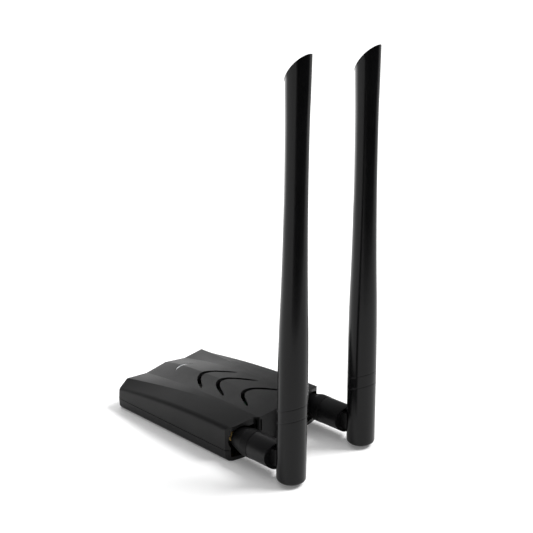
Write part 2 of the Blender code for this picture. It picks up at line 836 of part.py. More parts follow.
def build_stem(side, word):
    name = "stem_" + word
    profile = [
        (rel(STEM_START_X), 3.0),
        (rel(STEM_START_X), STEM_R - 0.35),
        (rel(STEM_START_X) + 0.35, STEM_R),
        (rel(STEM_END_X) - 0.5, STEM_R),
        (rel(STEM_END_X), STEM_R - 0.5),
        (rel(STEM_END_X), 3.0),
    ]
    stem = place(name, lathe_mesh(name, profile, 0.0, 0.0, 32), "satin")
    core = rod_mesh("core", 3.4, rel(STEM_CORE_X), rel(STEM_END_X) - 0.4, "X", (0.0, 0.0), 20)
    add(stem, name + "_core", core)
    hollow = rod_mesh("hollow", STEM_HOLLOW_R, -STEM_HOLLOW_Y, STEM_HOLLOW_Y, "Y", (0.0, 0.0), 48)
    cut(stem, name + "_hollow", hollow)
    lug = prism_mesh("lug", lug_outline(rel(58.4)), -LUG_HALF_Y, LUG_HALF_Y, "Y")
    add(stem, name + "_lug", lug)
    hole = rod_mesh("pin_hole", PIN_R + 0.2, -6.0, 6.0, "Y", (0.0, 0.0), 16)
    cut(stem, name + "_pin_hole", hole)
    way = box_mesh("cable_way", (rel(56.0), -0.9, 1.7), (8.0, 0.9, 6.0))
    cut(stem, name + "_cable_way", way)
    smooth(stem)
    at_jack(stem, side, STEM_START_X)
    move_tools(stem, side)
    name = "tilt_pin_" + word
    pin = place(name, rod_mesh(name, PIN_R, -4.9, 4.9, "Y", (0.0, 0.0), 16), "steel")
    smooth(pin)
    at_jack(pin, side, PIVOT_X)


def whip_ring(z, half_x, half_y, sides=24, slope=0.0):
    ring = []
    for i in range(sides):
        angle = 2.0 * math.pi * i / sides
        x = half_x * math.cos(angle)
        ring.append((x, half_y * math.sin(angle), z + slope * x))
    return ring


def groove_rings(z):
    """Rings for one thin slanted groove round the whip."""
    slope = math.tan(math.radians(RING_SLOPE_DEG))
    deep = WHIP_R - RING_DEPTH
    return [
        whip_ring(z, WHIP_R, WHIP_R, slope=slope),
        whip_ring(z, deep, deep, slope=slope),
        whip_ring(z + RING_WIDTH, deep, deep, slope=slope),
        whip_ring(z + RING_WIDTH, WHIP_R, WHIP_R, slope=slope),
    ]


def whip_outer():
    rings = []
    for i in range(4):
        angle = math.radians(90.0 * i / 3.0)
        z = WHIP_FOOT + WHIP_FOOT_FILLET * (1.0 - math.cos(angle))
        radius = WHIP_R - WHIP_FOOT_FILLET * (1.0 - math.sin(angle))
        rings.append(whip_ring(z, radius, radius))
    rings.extend(groove_rings(RING_LOW_Z))
    rings.extend(groove_rings(RING_HIGH_Z))
    for z, half_x, half_y in WHIP_STATIONS:
        rings.append(whip_ring(z, half_x, half_y))
    return loft_mesh("whip", rings)


def whip_room():
    rings = []
    first = WHIP_STATIONS[0]
    rings.append(whip_ring(3.0, 2.6, 2.4, 14))
    rings.append(whip_ring(7.0, 2.6, 2.4, 14))
    rings.append(whip_ring(14.0, first[1] - WHIP_WALL, first[2] - WHIP_WALL, 14))
    for z, half_x, half_y in WHIP_STATIONS[:-1:2]:
        rings.append(whip_ring(z, half_x - WHIP_WALL, half_y - WHIP_WALL, 14))
    return loft_mesh("whip_room", rings)


def tip_height(back):
    """Height of the slanted tip at a distance behind its point."""
    return WHIP_TIP_Z - WHIP_TIP_SLOPE * back - WHIP_TIP_BEND * back * back


def tip_outline():
    """Area over the slanted tip, as (x, z)."""
    half = WHIP_STATIONS[-1][1]
    points = []
    for i in range(9):
        x = -half + 2.0 * half * i / 8.0
        points.append((x, tip_height(half - x)))
    points.append((half + 2.0, WHIP_TIP_Z + 2.0 * WHIP_TIP_SLOPE))
    points.append((half + 2.0, 185.0))
    points.append((-half - 2.0, 185.0))
    points.append((-half - 2.0, tip_height(2.0 * half + 2.0)))
    return points


def build_whip(side, word):
    name = "whip_" + word
    whip = place(name, whip_outer(), "gloss")
    cut(whip, name + "_tip_trim", prism_mesh("tip_trim", tip_outline(), -9.0, 9.0, "Y"))
    cut(whip, name + "_room", whip_room())
    slot = box_mesh("slot", (-12.0, -SLOT_HALF_Y, -12.0), (SLOT_REACH, SLOT_HALF_Y, SLOT_REACH))
    cut(whip, name + "_slot", slot)
    socket = rod_mesh("pin_socket", PIN_R + 0.2, -5.2, 5.2, "Y", (0.0, 0.0), 16)
    cut(whip, name + "_pin_socket", socket)
    smooth(whip)
    at_jack(whip, side, PIVOT_X)
    move_tools(whip, side)


def build_radiator(side, word):
    name = "radiator_sleeve_" + word
    bm_mesh = tube_z(name, 1.9, 2.3, 22.0, 66.0)
    lower = place(name, bm_mesh, "brass")
    smooth(lower)
    at_jack(lower, side, PIVOT_X)
    name = "radiator_wire_" + word
    upper = place(name, rod_mesh(name, 0.8, 72.0, 148.0, "Z", (0.0, 0.0), 12), "brass")
    smooth(upper)
    at_jack(upper, side, PIVOT_X)
    name = "antenna_coax_" + word
    coax = place(name, rod_mesh(name, 0.9, 5.5, 71.6, "Z", (0.0, 0.0), 12), "cable")
    smooth(coax)
    at_jack(coax, side, PIVOT_X)


def tube_z(name, inner, outer, start, end):
    mesh = lathe_mesh(name, [(start, inner), (start, outer), (end, outer), (end, inner)], 0.0, 0.0, 16)
    mesh.transform(Matrix.Rotation(math.radians(-90.0), 4, "Y"))
    return mesh


# ---------------------------------------------------------------- build all

build_top_cover()
build_bottom_cover()
build_label()
build_screws()
build_board()
build_shield()
build_chips()
build_led_lens()
build_usb_socket()
for hand, title in ((-1.0, "near"), (1.0, "far")):
    build_jack(hand, title)
    build_nut(hand, title)
    build_plug(hand, title)
    build_stem(hand, title)
    build_whip(hand, title)
    build_radiator(hand, title)
bpy.context.view_layer.update()
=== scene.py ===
"""Looks for a long range dual antenna usb wifi adapter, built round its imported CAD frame.

Shapes are drawn in millimetres and turned into metres when their mesh is made; the camera
and the lights are placed in metres.  +X runs from the usb end to the antenna end, Y is the
width, +Z is up, and the origin is on the resting face.
"""
import bpy
import bmesh
import json
import math
from mathutils import Matrix
from mathutils import Vector


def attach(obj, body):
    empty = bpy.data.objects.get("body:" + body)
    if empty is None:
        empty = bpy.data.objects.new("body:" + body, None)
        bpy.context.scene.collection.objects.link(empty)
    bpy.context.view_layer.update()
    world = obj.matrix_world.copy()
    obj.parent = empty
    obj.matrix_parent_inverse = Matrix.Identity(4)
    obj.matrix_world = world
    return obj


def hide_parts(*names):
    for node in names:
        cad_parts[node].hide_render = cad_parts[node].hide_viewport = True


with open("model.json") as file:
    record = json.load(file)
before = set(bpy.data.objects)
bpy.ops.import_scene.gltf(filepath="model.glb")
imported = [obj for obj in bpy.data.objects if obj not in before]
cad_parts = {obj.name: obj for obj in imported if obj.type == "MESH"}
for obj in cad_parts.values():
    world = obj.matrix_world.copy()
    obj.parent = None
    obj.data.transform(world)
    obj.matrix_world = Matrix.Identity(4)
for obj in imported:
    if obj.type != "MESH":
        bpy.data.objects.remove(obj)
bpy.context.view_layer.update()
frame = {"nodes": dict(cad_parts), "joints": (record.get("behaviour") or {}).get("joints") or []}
MM = 0.001

# ---------------------------------------------------------------- dimensions

# body
USB_END_X = -39.4
WALL_END_X = 38.9
TONGUE_END_X = 45.9
HALF_WIDTH = 31.4
TONGUE_HALF_Y = 16.5
SEAM_Z = 5.2
SEAM_GAP = 0.3
WALL = 1.8
END_ROUND = 1.1
CUT_TOP_Z = 26.0
USB_Z = 7.35
USB_HALF_WIDE = 4.5
USB_HALF_HIGH = 1.6

# the roof's fold lines: value at the usb end, value at the antenna end, curve power
EDGE_Z = (10.4, 16.8, 2.2)
EDGE_Y = (31.0, 31.3, 1.0)
CREASE_Y = (25.7, 15.9, 1.4)
CREASE_Z = (14.5, 18.9, 1.7)
VALLEY_Y = (13.0, 15.2, 3.0)
VALLEY_Z = (13.2, 18.9, 2.6)
RIDGE_Z = (15.1, 18.95, 5.0)

# corner radii across the roof, from one seam edge over the ridge to the other
FOLD_RADII = (0.0, 2.4, 0.75, 1.0, 1.6, 1.0, 0.75, 2.4, 0.0)

# plan of the antenna end on one side, from the side wall to the tongue: x, y, corner radius
END_CORNERS = (
    (WALL_END_X, HALF_WIDTH + 4.0, 0.0),
    (WALL_END_X, HALF_WIDTH, 0.5),
    (WALL_END_X + 2.6, HALF_WIDTH - 2.3, 2.0),
    (WALL_END_X + 3.9, 24.0, 4.0),
    (WALL_END_X + 4.7, TONGUE_HALF_Y + 0.9, 1.0),
    (TONGUE_END_X - 0.8, TONGUE_HALF_Y, 0.6),
    (TONGUE_END_X, TONGUE_HALF_Y - 0.8, 0.6),
    (TONGUE_END_X, 4.0, 0.0),
    (TONGUE_END_X + 4.0, 4.0, 0.0),
    (TONGUE_END_X + 4.0, HALF_WIDTH + 4.0, 0.0),
)

# hollow behind the tongue, pockets round the jacks
TONGUE_ROOM_X = 24.0
TONGUE_ROOM_Y = 13.6
POCKET_BACK_X = 30.8
POCKET_INNER_Y = 17.0
POCKET_OUTER_Y = 29.6
POCKET_FLOOR_Z = 1.8
POCKET_TOP_Z = 15.3
POCKET_OPEN_X = 56.0
SLEEVE_ROOM_R = 6.4
SLOT_LOW_Z = 11.6
SLOT_HIGH_Z = 17.4

# chevrons: tip x, half spread, reach along x, which grows with this power of the spread
CHEVRON_POWER = 2.1
VENTS = ((-9.8, 13.0, 13.1), (2.9, 12.3, 15.4), (20.5, 12.3, 14.0))
LOUVRE_WIDTH = 2.7
LOUVRE_DEPTH = 1.0
SLIT_WIDTH = 1.9
SLIT_TIP_EXTRA = 0.4
SLIT_LOW_Z = 9.0
LENS = (-26.8, 6.8, 3.9)
LENS_THICK = 2.0
LENS_LOW_Z = 12.2
LENS_GAP = 0.12

# underside
SCREWS = ((-31.0, -21.0), (-31.0, 21.0), (18.0, -23.5), (18.0, 23.5))
LABEL_X = (-33.0, -4.0)
LABEL_HALF_Y = 13.0

# jack, x values along the jack line
THREAD_R = 3.17
THREAD_ROOT_R = 2.75
THREAD_PITCH = 0.7056
BARREL_START_X = 28.6
BARREL_END_X = 45.0
BARREL_BORE_R = 2.45
FLANGE_HALF = 3.6
WASHER_X = (31.05, 31.6)
WASHER_R = 4.6
WASHER_NOTCHES = 10
NUT_X = (31.85, 33.9)
NUT_R = 4.75

# sleeve and stem, x values along the jack line
SLEEVE_START_X = 40.4
SLEEVE_CONE_X = 47.4
SLEEVE_END_X = 51.60
SLEEVE_FOOT_R = 4.8
SLEEVE_R = 6.6
STEM_START_X = 51.70
STEM_END_X = 65.8
STEM_R = 6.5
STEM_HOLLOW_R = 10.4
STEM_HOLLOW_Y = 7.2
LUG_R = 3.9
LUG_HALF_Y = 2.5
PIN_HOLE_R = 1.3
LEAN_DEG = 0.9

# whip: height over the tilt pin, half depth in x, half width in y
WHIP_SIDES = 96
WHIP_FOOT = -8.6
WHIP_FOOT_FILLET = 1.6
WHIP_R = 6.65
WHIP_SLOT_Y = 2.85
WHIP_SLOT_REACH = 4.35
WHIP_STATIONS = (
    (26.9, 6.65, 6.65), (36.0, 6.62, 6.58), (48.0, 6.56, 6.40), (62.0, 6.40, 5.97),
    (75.0, 6.07, 5.44), (88.0, 5.79, 5.02), (101.0, 5.59, 4.69), (114.0, 5.44, 4.41),
    (132.0, 5.39, 4.27), (150.0, 5.51, 4.27), (162.0, 5.80, 4.40), (178.0, 6.10, 4.55))
WHIP_TIP_Z = 176.35
WHIP_TIP_SLOPE = 0.68
WHIP_TIP_BEND = 0.026

# slanted grooves round the whip: heights, and the groove's section as height offset and depth
RING_HEIGHTS = (20.6, 26.4)
RING_SLOPE = math.tan(math.radians(21.0))
RING_SECTION = (
    (-0.50, 0.0), (-0.04, 0.0), (0.02, 0.02), (0.06, 0.10),
    (0.20, 0.10), (0.24, 0.02), (0.30, 0.0), (0.76, 0.0))


def joint_point(name):
    """Where a joint of the record sits, in millimetres."""
    for joint in frame["joints"]:
        if joint["name"] == name:
            return Vector(joint["pos_m"]) / MM
    raise RuntimeError("no joint " + name)


# the tilt pins, which also give each jack line its y and z
PIN = {"near": joint_point("whip_tilt_near"), "far": joint_point("whip_tilt_far")}


# ---------------------------------------------------------------- materials

def socket(shader, name, value):
    shader.inputs[name].default_value = value


def new_node(tree, kind, **settings):
    node = tree.nodes.new(kind)
    for key, value in settings.items():
        setattr(node, key, value)
    return node


def noise(tree, coords, scale, detail=2.0, rough=0.5):
    node = new_node(tree, "ShaderNodeTexNoise")
    node.inputs["Scale"].default_value = scale
    node.inputs["Detail"].default_value = detail
    node.inputs["Roughness"].default_value = rough
    tree.links.new(coords, node.inputs["Vector"])
    return node.outputs["Fac"]


def spread(tree, source, low, high, from_low=0.3, from_high=0.7):
    """Map a noise value onto a range."""
    node = new_node(tree, "ShaderNodeMapRange")
    node.inputs["From Min"].default_value = from_low
    node.inputs["From Max"].default_value = from_high
    node.inputs["To Min"].default_value = low
    node.inputs["To Max"].default_value = high
    tree.links.new(source, node.inputs["Value"])
    return node.outputs["Result"]


def plus(tree, a, b):
    node = new_node(tree, "ShaderNodeMath", operation="ADD")
    tree.links.new(a, node.inputs[0])
    tree.links.new(b, node.inputs[1])
    return node.outputs[0]


def surface(name, dark, light, rough, metallic=0.0, patch=60.0, grain=2600.0,
            grain_depth=0.00001, brushed=None, specular=0.5, coat=0.0, marks=0.0):
    """A moulded, cast or plated surface: two close tones, varied gloss and a fine grain.

    patch and grain are the scales of the broad and the fine noise, grain_depth is the relief
    in metres, brushed stretches the grain along an axis, and marks adds duller scuffs.
    """
    mat = bpy.data.materials.new(name)
    mat.use_nodes = True
    tree = mat.node_tree
    shader = tree.nodes["Principled BSDF"]
    coords = new_node(tree, "ShaderNodeTexCoord").outputs["Object"]
    stretched = coords
    if brushed:
        mapping = new_node(tree, "ShaderNodeMapping")
        mapping.inputs["Scale"].default_value = brushed
        tree.links.new(coords, mapping.inputs["Vector"])
        stretched = mapping.outputs["Vector"]
    broad = noise(tree, coords, patch, 3.0)
    fine = noise(tree, stretched, grain, 3.0, 0.6)
    # inputs 6 and 7 and output 2 are the node's colour sockets
    mix = new_node(tree, "ShaderNodeMix", data_type="RGBA")
    mix.inputs[6].default_value = (dark[0], dark[1], dark[2], 1.0)
    mix.inputs[7].default_value = (light[0], light[1], light[2], 1.0)
    tone = plus(tree, spread(tree, broad, 0.0, 0.6), spread(tree, fine, 0.0, 0.4))
    tree.links.new(tone, mix.inputs[0])
    tree.links.new(mix.outputs[2], shader.inputs["Base Color"])
    gloss = plus(tree, spread(tree, broad, rough[0], rough[1]), spread(tree, fine, -0.02, 0.02))
    if marks > 0.0:
        scuff = noise(tree, coords, patch * 6.0, 4.0, 0.7)
        gloss = plus(tree, gloss, spread(tree, scuff, 0.0, marks, 0.58, 0.75))
    tree.links.new(gloss, shader.inputs["Roughness"])
    bump = new_node(tree, "ShaderNodeBump")
    bump.inputs["Strength"].default_value = 1.0
    bump.inputs["Distance"].default_value = grain_depth
    tree.links.new(fine, bump.inputs["Height"])
    tree.links.new(bump.outputs["Normal"], shader.inputs["Normal"])
    socket(shader, "Metallic", metallic)
    socket(shader, "Specular IOR Level", specular)
    socket(shader, "Coat Weight", coat)
    if coat > 0.0:
        socket(shader, "Coat Roughness", 0.06)
    return mat


MATS = {
    "shell": surface("moulded_shell", (0.0060, 0.0060, 0.0062), (0.0085, 0.0085, 0.0088), (0.42, 0.52),
                     patch=45.0, grain=2400.0, grain_depth=0.000016, marks=0.04, specular=0.23),
    "sleeve": surface("nut_sleeve_satin", (0.0045, 0.0045, 0.0048), (0.0070, 0.0070, 0.0074), (0.46, 0.56),
                      grain=2200.0, grain_depth=0.000012, specular=0.18),
    "stem": surface("stem_satin", (0.0055, 0.0054, 0.0058), (0.0085, 0.0084, 0.0089), (0.34, 0.42),
                    grain=2000.0, grain_depth=0.000009, specular=0.24),
    "whip": surface("whip_gloss", (0.0026, 0.0026, 0.0029), (0.0040, 0.0040, 0.0044), (0.17, 0.23),
                    patch=30.0, grain=900.0, grain_depth=0.000003, marks=0.05, specular=0.20),
    "gold": surface("gold_plate", (0.94, 0.66, 0.24), (1.0, 0.80, 0.38), (0.26, 0.36), metallic=0.50,
                    patch=300.0, grain=3000.0, grain_depth=0.000004),
    "brass": surface("turned_brass", (0.62, 0.44, 0.18), (0.74, 0.55, 0.25), (0.28, 0.40), metallic=1.0,
                     patch=260.0, grain=2600.0, grain_depth=0.000006),
    "nickel": surface("bright_nickel", (0.56, 0.55, 0.52), (0.70, 0.68, 0.65), (0.18, 0.28), metallic=1.0,
                      patch=200.0, grain=2600.0, grain_depth=0.000003),
    "steel": surface("zinc_steel", (0.38, 0.38, 0.39), (0.52, 0.52, 0.54), (0.30, 0.42), metallic=1.0,
                     patch=300.0, grain=2600.0, grain_depth=0.000006),
    "tin": surface("tinned_sheet", (0.50, 0.50, 0.48), (0.66, 0.66, 0.64), (0.30, 0.42), metallic=1.0,
                   patch=180.0, grain=1800.0, grain_depth=0.000005, brushed=(1.0, 0.08, 1.0)),
    "ptfe": surface("white_ptfe", (0.78, 0.78, 0.75), (0.88, 0.88, 0.85), (0.42, 0.52),
                    patch=200.0, grain=2200.0, grain_depth=0.000006),
    "board": surface("board_green", (0.004, 0.018, 0.009), (0.007, 0.030, 0.014), (0.34, 0.46),
                     patch=220.0, grain=1500.0, grain_depth=0.000010, brushed=(1.0, 0.12, 1.0)),
    "chip": surface("chip_epoxy", (0.012, 0.012, 0.012), (0.026, 0.026, 0.026), (0.55, 0.68),
                    patch=300.0, grain=3200.0, grain_depth=0.000010),
    "pad": surface("thermal_pad_grey", (0.24, 0.27, 0.30), (0.34, 0.37, 0.40), (0.72, 0.86),
                   patch=260.0, grain=2400.0, grain_depth=0.000020),
    "lens": surface("led_lens_milk", (0.15, 0.16, 0.17), (0.22, 0.23, 0.24), (0.24, 0.34),
                    patch=300.0, grain=1800.0, grain_depth=0.000003, coat=0.5),
    "led": surface("led_epoxy", (0.70, 0.72, 0.66), (0.84, 0.86, 0.80), (0.16, 0.26),
                   patch=300.0, grain=1800.0, grain_depth=0.000003),
    "label": surface("label_film", (0.38, 0.38, 0.39), (0.48, 0.48, 0.49), (0.38, 0.50), metallic=0.3,
                     patch=90.0, grain=2400.0, grain_depth=0.000004, brushed=(0.05, 1.0, 1.0)),
    "coax": surface("coax_jacket", (0.014, 0.014, 0.014), (0.026, 0.026, 0.026), (0.50, 0.62),
                    patch=300.0, grain=2400.0, grain_depth=0.000010),
}


# ---------------------------------------------------------------- mesh tools

def mesh_from(bm, name):
    bmesh.ops.recalc_face_normals(bm, faces=bm.faces)
    for vert in bm.verts:
        vert.co = vert.co * MM
    mesh = bpy.data.meshes.new(name)
    bm.to_mesh(mesh)
    bm.free()
    return mesh


def skin(bm, rings):
    """Faces between closed rings that all have the same number of points."""
    made = [[bm.verts.new(point) for point in ring] for ring in rings]
    count = len(made[0])
    for a, b in zip(made[:-1], made[1:]):
        for i in range(count):
            j = (i + 1) % count
            bm.faces.new((a[i], a[j], b[j], b[i]))
    return made


def loft(name, rings):
    """Closed solid through a row of rings."""
    bm = bmesh.new()
    made = skin(bm, rings)
    bm.faces.new(made[0])
    bm.faces.new(list(reversed(made[-1])))
    return mesh_from(bm, name)


def fillet(points, radii, steps=6):
    """Round the corners of an open 2-D line; a radius of 0 keeps the corner."""
    line = [Vector(points[0])]
    for i in range(1, len(points) - 1):
        here = Vector(points[i])
        before = Vector(points[i - 1]) - here
        after = Vector(points[i + 1]) - here
        radius = radii[i]
        if radius <= 0.0:
            line.append(here)
            continue
        angle = before.angle(after)
        reach = min(radius / math.tan(angle / 2.0), before.length * 0.45, after.length * 0.45)
        start = here + before.normalized() * reach
        end = here + after.normalized() * reach
        for k in range(steps + 1):
            t = k / steps
            line.append(start * (1 - t) ** 2 + here * 2 * t * (1 - t) + end * t ** 2)
    line.append(Vector(points[-1]))
    return [tuple(p) for p in line]


def closed_fillet(points, radius, steps=5):
    """Round every corner of a closed outline."""
    count = len(points)
    line = []
    for i in range(count):
        trio = [points[i - 1], points[i], points[(i + 1) % count]]
        line.extend(fillet(trio, (0.0, radius, 0.0), steps)[1:-1])
    return line


def lathe(name, profile, sides=96):
    """Turn a closed (x, radius) outline about the X axis."""
    bm = bmesh.new()
    rings = []
    for i in range(sides):
        angle = 2.0 * math.pi * i / sides
        c, s = math.cos(angle), math.sin(angle)
        rings.append([bm.verts.new((x, r * c, r * s)) for x, r in profile])
    count = len(profile)
    for i in range(sides):
        a, b = rings[i], rings[(i + 1) % sides]
        for k in range(count):
            m = (k + 1) % count
            bm.faces.new((a[k], a[m], b[m], b[k]))
    return mesh_from(bm, name)


def prism(name, outline, low, high, axis="Z"):
    """Thicken a flat outline.  Z: (x, y) points.  Y: (x, z) points.  X: (y, z) points."""
    def spot(p, height):
        if axis == "Z":
            return (p[0], p[1], height)
        if axis == "Y":
            return (p[0], height, p[1])
        return (height, p[0], p[1])
    return loft(name, [[spot(p, low) for p in outline], [spot(p, high) for p in outline]])


def block(name, low, high, radius=0.0, segments=2):
    """Box between two corners, its edges rounded when a radius is given."""
    bm = bmesh.new()
    bmesh.ops.create_cube(bm, size=1.0)
    size = Vector(high) - Vector(low)
    centre = (Vector(high) + Vector(low)) / 2.0
    for vert in bm.verts:
        vert.co = Vector((vert.co.x * size.x, vert.co.y * size.y, vert.co.z * size.z)) + centre
    if radius > 0.0:
        bmesh.ops.bevel(bm, geom=bm.edges[:], offset=radius, segments=segments, affect="EDGES", profile=0.5)
    return mesh_from(bm, name)


def rod(name, radius, low, high, axis, centre=(0.0, 0.0), sides=48):
    """Closed cylinder along an axis."""
    outline = []
    for i in range(sides):
        angle = 2.0 * math.pi * i / sides
        outline.append((centre[0] + radius * math.cos(angle), centre[1] + radius * math.sin(angle)))
    return prism(name, outline, low, high, axis)


def scene_object(name, mesh):
    obj = bpy.data.objects.new(name, mesh)
    bpy.context.scene.collection.objects.link(obj)
    return obj


def boolean(obj, mesh, operation="DIFFERENCE"):
    """Apply one exact Boolean at once and drop the tool."""
    tool = scene_object("tool", mesh)
    mod = obj.modifiers.new("cut", "BOOLEAN")
    mod.operation = operation
    mod.solver = "EXACT"
    mod.object = tool
    graph = bpy.context.evaluated_depsgraph_get()
    result = bpy.data.meshes.new_from_object(obj.evaluated_get(graph))
    obj.modifiers.remove(mod)
    old = obj.data
    obj.data = result
    bpy.data.meshes.remove(old)
    bpy.data.objects.remove(tool, do_unlink=True)
    bpy.data.meshes.remove(mesh)


def finish_piece(obj, mat, body, *nodes, angle=32.0):
    """Shade a piece, give it its material and hang it on its CAD body."""
    for poly in obj.data.polygons:
        poly.use_smooth = True
    obj.data.set_sharp_from_angle(angle=math.radians(angle))
    obj.data.materials.clear()
    obj.data.materials.append(MATS[mat])
    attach(obj, body)
    if nodes:
        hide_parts(*nodes)
    return obj


# ---------------------------------------------------------------- body shape

def fold(line, x):
    """Where a fold line of the roof is at x."""
    start, end, power = line
    share = min(1.0, max(0.0, (x - USB_END_X) / (WALL_END_X - USB_END_X)))
    return start + (end - start) * (1.0 - (1.0 - share) ** power)


def roof_half(x, inset):
    """Fold points of one half of the shell's section, from the seam up to the ridge.

    An inset moves the folds inward as well as down, so that the wall keeps its thickness.
    """
    return [
        (HALF_WIDTH - inset, SEAM_Z + SEAM_GAP / 2.0),
        (fold(EDGE_Y, x) - inset, fold(EDGE_Z, x) - inset * 0.9),
        (fold(CREASE_Y, x) - inset * 0.4, fold(CREASE_Z, x) - inset),
        (fold(VALLEY_Y, x), fold(VALLEY_Z, x) - inset),
        (0.0, fold(RIDGE_Z, x) - inset),
    ]


def roof_height(x, y):
    """Outer roof height at a point."""
    half = roof_half(x, 0.0)
    y = abs(y)
    for (y1, z1), (y2, z2) in zip(half[1:-1], half[2:]):
        if y2 <= y <= y1:
            return z1 + (z2 - z1) * (y1 - y) / (y1 - y2)
    return half[1][1]


def shell_ring(x, shrink):
    """Closed section of the top cover at x with its folds rounded."""
    half = roof_half(x, shrink)
    whole = [(-y, z) for y, z in half] + [(y, z) for y, z in reversed(half[:-1])]
    return [(x, y, z) for y, z in fillet(whole, FOLD_RADII, 5)]


def end_trim(side):
    """Plan area outside the antenna end on one side, corners rounded."""
    points = [(x, side * y) for x, y, radius in END_CORNERS]
    radii = [radius for x, y, radius in END_CORNERS]
    return fillet(points, radii, 5)


def across(i, count):
    """Place of point i of a chevron, from -1 at one end over 0 at its tip to 1."""
    return -1.0 + 2.0 * i / count


def crescent(shape, thick, count, power):
    """Front and back edge of a chevron, thick at its tip and pointed at both ends."""
    tip_x, half_spread, reach = shape
    front = []
    back = []
    for i in range(count + 1):
        s = across(i, count)
        x = tip_x + reach * abs(s) ** CHEVRON_POWER
        front.append((x, s * half_spread))
        back.append((x + thick * (1.0 - abs(s)) ** power, s * half_spread))
    return front, back


def louvre_tool(vent):
    """A scoop: upright outer wall, floor that ramps back up to the roof inside the chevron."""
    count = 36
    front, back = crescent(vent, LOUVRE_WIDTH, count, 0.6)
    bm = bmesh.new()
    low_front, top_back, up_front, up_back = [], [], [], []
    for i in range(count + 1):
        depth = LOUVRE_DEPTH * (1.0 - abs(across(i, count)) ** 10) + 0.02
        fx, fy = front[i]
        bx, by = back[i]
        bx = max(bx, fx + 0.02)
        low_front.append(bm.verts.new((fx, fy, roof_height(fx, fy) - depth)))
        top_back.append(bm.verts.new((bx, by, roof_height(bx, by) - 0.02)))
        up_front.append(bm.verts.new((fx, fy, CUT_TOP_Z)))
        up_back.append(bm.verts.new((bx, by, CUT_TOP_Z)))
    for i in range(count):
        j = i + 1
        bm.faces.new((low_front[i], low_front[j], top_back[j], top_back[i]))
        bm.faces.new((up_front[i], up_front[j], low_front[j], low_front[i]))
        bm.faces.new((up_back[j], up_back[i], top_back[i], top_back[j]))
        bm.faces.new((up_front[j], up_front[i], up_back[i], up_back[j]))
    for i in (0, count):
        bm.faces.new((up_front[i], low_front[i], top_back[i], up_back[i]))
    return mesh_from(bm, "louvre")


def vent_slit(vent):
    """The narrow way through the roof along the foot of the louvre's outer wall."""
    tip_x, half, reach = vent
    count = 40
    front = crescent((tip_x + 0.02, half * 0.99, reach * 0.98), 0.0, count, 1.0)[0]
    inner = []
    for i in range(1, count):
        s = abs(across(i, count))
        run = Vector(front[i + 1]) - Vector(front[i - 1])
        inward = Vector((run.y, -run.x)).normalized()
        thick = SLIT_WIDTH + SLIT_TIP_EXTRA * (1.0 - s) ** 2.5
        inner.append(tuple(Vector(front[i]) + inward * thick * (1.0 - s ** 8) ** 0.5))
    return prism("slit", front + list(reversed(inner)), SLIT_LOW_Z, CUT_TOP_Z)


def usb_outline(grow, count=12):
    """Stadium shape of the usb opening, a little larger than the socket."""
    half_wide = USB_HALF_WIDE + grow
    half_high = USB_HALF_HIGH + grow
    points = []
    for side in (1.0, -1.0):
        for i in range(count + 1):
            angle = math.radians((-90.0 if side > 0 else 90.0) + 180.0 * i / count)
            y = side * (half_wide - half_high) + half_high * math.cos(angle)
            points.append((y, USB_Z + half_high * math.sin(angle)))
    return points


def side_block(name, side, x_pair, y_pair, z_pair, radius, segments):
    """A rounded block on one side of the body, given by its distances from the middle."""
    y_low, y_high = sorted((side * y_pair[0], side * y_pair[1]))
    return block(name, (x_pair[0], y_low, z_pair[0]), (x_pair[1], y_high, z_pair[1]), radius, segments)


def jack_spot(side):
    """Centre of the jack line on one side, as y and z."""
    return (side * abs(PIN["near"].y), PIN["near"].z)


def cut_antenna_end(obj):
    """Trim both covers to the end's outline and open the pockets round the jacks."""
    for side in (-1.0, 1.0):
        boolean(obj, prism("trim", end_trim(side), -3.0, CUT_TOP_Z))
        boolean(obj, side_block("pocket", side, (POCKET_BACK_X, POCKET_OPEN_X),
                                (POCKET_INNER_Y, POCKET_OUTER_Y), (POCKET_FLOOR_Z, POCKET_TOP_Z), 0.6, 3))
        boolean(obj, rod("sleeve_room", SLEEVE_ROOM_R, SLEEVE_START_X - 0.45, POCKET_OPEN_X, "X",
                         jack_spot(side), 72))


def usb_end_rings(section):
    """Sections of the rounded usb end, from the end face to where the walls run straight."""
    rings = []
    for k in range(6):
        angle = math.radians(90.0 * k / 5.0)
        x = USB_END_X + END_ROUND * (1.0 - math.sin(angle))
        rings.append(section(x, END_ROUND * (1.0 - math.cos(angle))))
    rings.reverse()
    return rings


def hollow_top_cover(obj):
    """Cut the room under the roof and the room in the tongue."""
    inner = []
    for i in range(12):
        x = USB_END_X + WALL + (POCKET_BACK_X - 2 * WALL - USB_END_X) * i / 11.0
        half = roof_half(x, WALL)
        half[0] = (half[0][0], 2.0)
        inner.append([(x, -y, z) for y, z in half] + [(x, y, z) for y, z in reversed(half[:-1])])
    boolean(obj, loft("inner", inner))
    boolean(obj, block("tongue_room", (TONGUE_ROOM_X, -TONGUE_ROOM_Y, 2.0),
                       (TONGUE_END_X - WALL, TONGUE_ROOM_Y, 15.6)))


def cut_tongue_details(obj):
    """Holes for the jacks and the upright slots at the tongue's corners."""
    slot_z = (SLOT_LOW_Z, SLOT_HIGH_Z)
    for side in (-1.0, 1.0):
        boolean(obj, rod("jack_hole", THREAD_R + 0.25, 20.0, POCKET_BACK_X + 2.0, "X", jack_spot(side), 48))
        boolean(obj, side_block("end_slot", side, (TONGUE_END_X - 1.0, TONGUE_END_X + 1.0),
                                (14.25, 15.35), slot_z, 0.15, 1))
        boolean(obj, side_block("side_slot", side, (TONGUE_END_X - 1.9, TONGUE_END_X - 0.75),
                                (15.6, 18.0), slot_z, 0.15, 1))


